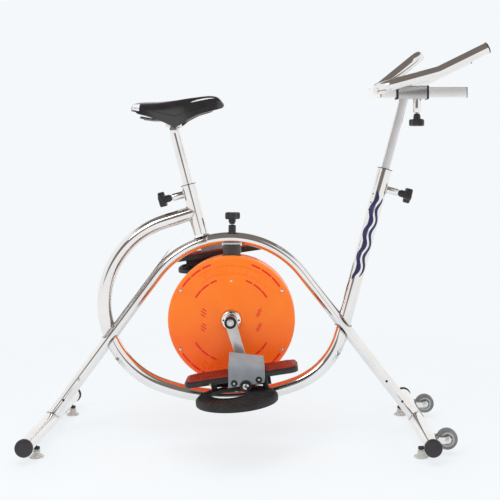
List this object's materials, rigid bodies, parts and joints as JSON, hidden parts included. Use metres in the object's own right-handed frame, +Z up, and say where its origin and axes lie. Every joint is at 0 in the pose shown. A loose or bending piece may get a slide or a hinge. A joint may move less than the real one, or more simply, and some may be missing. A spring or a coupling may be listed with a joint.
{
  "type": "exercise bike",
  "caption": "Water exercise bike: polished tube frame with an arch and loop, orange drum casing, strapped pedals with drag dishes, padded saddle and adjustable handlebar.",
  "frame": {"origin": "on the floor, at the middle of the bike's footprint box", "axes": "+X forwards from the saddle to the handlebar, +Y to the rider's left, +Z up"},
  "size_m": [1.2704, 0.634, 1.1209],
  "materials": {
    "polished_steel": "mirror polished stainless steel",
    "brushed_steel": "brushed stainless steel, satin",
    "dark_steel": "dark oxide coated steel, semi gloss",
    "cast_iron": "machined rim, grey web",
    "orange_plastic": "moulded orange plastic, satin gloss",
    "black_plastic": "moulded black nylon, fine grain",
    "brake_pad_rubber": "dense friction pad",
    "red_rubber": "ribbed red-brown rubber",
    "grey_webbing": "smooth grey elastomer strap with a faint sheen",
    "clear_rubber": "milky silicone, slightly translucent",
    "grey_rubber": "grey solid rubber tread",
    "saddle_vinyl": "black grained vinyl, satin"
  },
  "bodies": {
    "frame": {"arch_tube": "polished_steel", "column_tube": "polished_steel", "lower_loop_tube": "polished_steel", "rear_loop_tube": "polished_steel", "seat_tube": "polished_steel", "rear_foot_tube": "polished_steel", "front_foot_tube": "polished_steel", "hub_flange_right": "polished_steel", "hub_flange_left": "polished_steel", "hub_bearing_right": "brushed_steel", "hub_bearing_left": "brushed_steel", "top_bracket": "dark_steel", "bottom_bracket": "dark_steel", "hanger_plate": "dark_steel", "casing_right": "orange_plastic", "casing_left": "orange_plastic", "seat_liner": "black_plastic", "column_liner": "black_plastic", "rear_end_cap_right": "black_plastic", "rear_end_cap_left": "black_plastic", "front_end_cap_right": "black_plastic", "front_end_cap_left": "black_plastic", "brake_collar": "black_plastic", "rear_suction_cup_right": "clear_rubber", "rear_suction_cup_left": "clear_rubber", "front_suction_cup_right": "clear_rubber", "front_suction_cup_left": "clear_rubber"},
    "seat_post": {"seat_post": "polished_steel"},
    "seat_clamp": {"saddle_clamp": "dark_steel"},
    "saddle": {"saddle_rails": "brushed_steel", "saddle_shell": "black_plastic", "saddle_pad": "saddle_vinyl"},
    "seat_knob": {"seat_knob": "black_plastic"},
    "bar_post": {"handlebar_post": "brushed_steel", "bar_sleeve": "polished_steel", "sleeve_collar_rear": "black_plastic", "sleeve_collar_front": "black_plastic"},
    "column_knob": {"column_knob": "black_plastic"},
    "bar": {"slide_tube": "brushed_steel", "handlebar": "polished_steel"},
    "slide_knob": {"slide_knob": "black_plastic"},
    "brake_knob": {"brake_knob": "black_plastic"},
    "brake_shoe": {"brake_shoe": "brake_pad_rubber"},
    "crank": {"crank_axle": "brushed_steel", "brake_wheel": "cast_iron", "crank_arm_right": "brushed_steel", "crank_arm_left": "brushed_steel", "pedal_spindle_right": "dark_steel", "pedal_spindle_left": "dark_steel"},
    "pedal_right": {"pedal_body_right": "black_plastic", "pedal_tread_right": "red_rubber", "foot_strap_right": "grey_webbing", "drag_dish_right": "black_plastic"},
    "pedal_left": {"pedal_body_left": "black_plastic", "pedal_tread_left": "red_rubber", "foot_strap_left": "grey_webbing", "drag_dish_left": "black_plastic"},
    "wheel_right": {"transport_wheel_right": "grey_rubber"},
    "wheel_left": {"transport_wheel_left": "grey_rubber"}
  },
  "joints": [
    {"name": "crank_spin", "type": "hinge", "parent": "frame", "child": "crank", "pos_m": [-0.08579, 0, 0.34], "axis": [0, 1, 0], "continuous": true},
    {"name": "pedal_right_spin", "type": "hinge", "parent": "crank", "child": "pedal_right", "pos_m": [-0.03833, -0.142, 0.18668], "axis": [0, 1, 0], "continuous": true},
    {"name": "pedal_left_spin", "type": "hinge", "parent": "crank", "child": "pedal_left", "pos_m": [-0.13325, 0.142, 0.49332], "axis": [0, 1, 0], "continuous": true},
    {"name": "seat_post_slide", "type": "slide", "parent": "frame", "child": "seat_post", "axis": [-0.2504, 0, 0.9681], "range_m": [-0.06, 0.01]},
    {"name": "saddle_tilt", "type": "hinge", "parent": "seat_post", "child": "seat_clamp", "pos_m": [-0.2551, 0, 0.88624], "axis": [0, 1, 0], "range_deg": [-10, 10]},
    {"name": "saddle_shift", "type": "slide", "parent": "seat_clamp", "child": "saddle", "axis": [1, 0, 0], "range_m": [-0.015, 0.015]},
    {"name": "seat_knob_turn", "type": "hinge", "parent": "frame", "child": "seat_knob", "pos_m": [-0.26562, 0, 0.68727], "axis": [-0.9681, 0, -0.2504], "range_deg": [0, 270]},
    {"name": "bar_post_slide", "type": "slide", "parent": "frame", "child": "bar_post", "axis": [0.2588, 0, 0.9659], "range_m": [-0.15, 0.05]},
    {"name": "column_knob_turn", "type": "hinge", "parent": "frame", "child": "column_knob", "pos_m": [0.40241, 0, 0.70141], "axis": [0.9659, 0, -0.2588], "range_deg": [0, 270]},
    {"name": "bar_slide", "type": "slide", "parent": "bar_post", "child": "bar", "axis": [1, 0, 0], "range_m": [-0.095, 0.025]},
    {"name": "slide_knob_turn", "type": "hinge", "parent": "bar_post", "child": "slide_knob", "pos_m": [0.45221, 0, 0.935], "axis": [0, 0, -1], "range_deg": [0, 270]},
    {"name": "brake_turn", "type": "hinge", "parent": "frame", "child": "brake_knob", "pos_m": [-0.08579, 0, 0.612], "axis": [0, 0, -1], "range_deg": [0, 360]},
    {"name": "brake_shoe_press", "type": "slide", "parent": "frame", "child": "brake_shoe", "axis": [0, 0, -1], "range_m": [0, 0.00151]},
    {"name": "wheel_right_spin", "type": "hinge", "parent": "frame", "child": "wheel_right", "pos_m": [0.50421, -0.178, 0.042], "axis": [0, 1, 0], "continuous": true},
    {"name": "wheel_left_spin", "type": "hinge", "parent": "frame", "child": "wheel_left", "pos_m": [0.50421, 0.178, 0.042], "axis": [0, 1, 0], "continuous": true}
  ],
  "couplings": [
    {"joint": "brake_shoe_press", "follows": "brake_turn", "m_per_rad": 0.00023873}
  ]
}
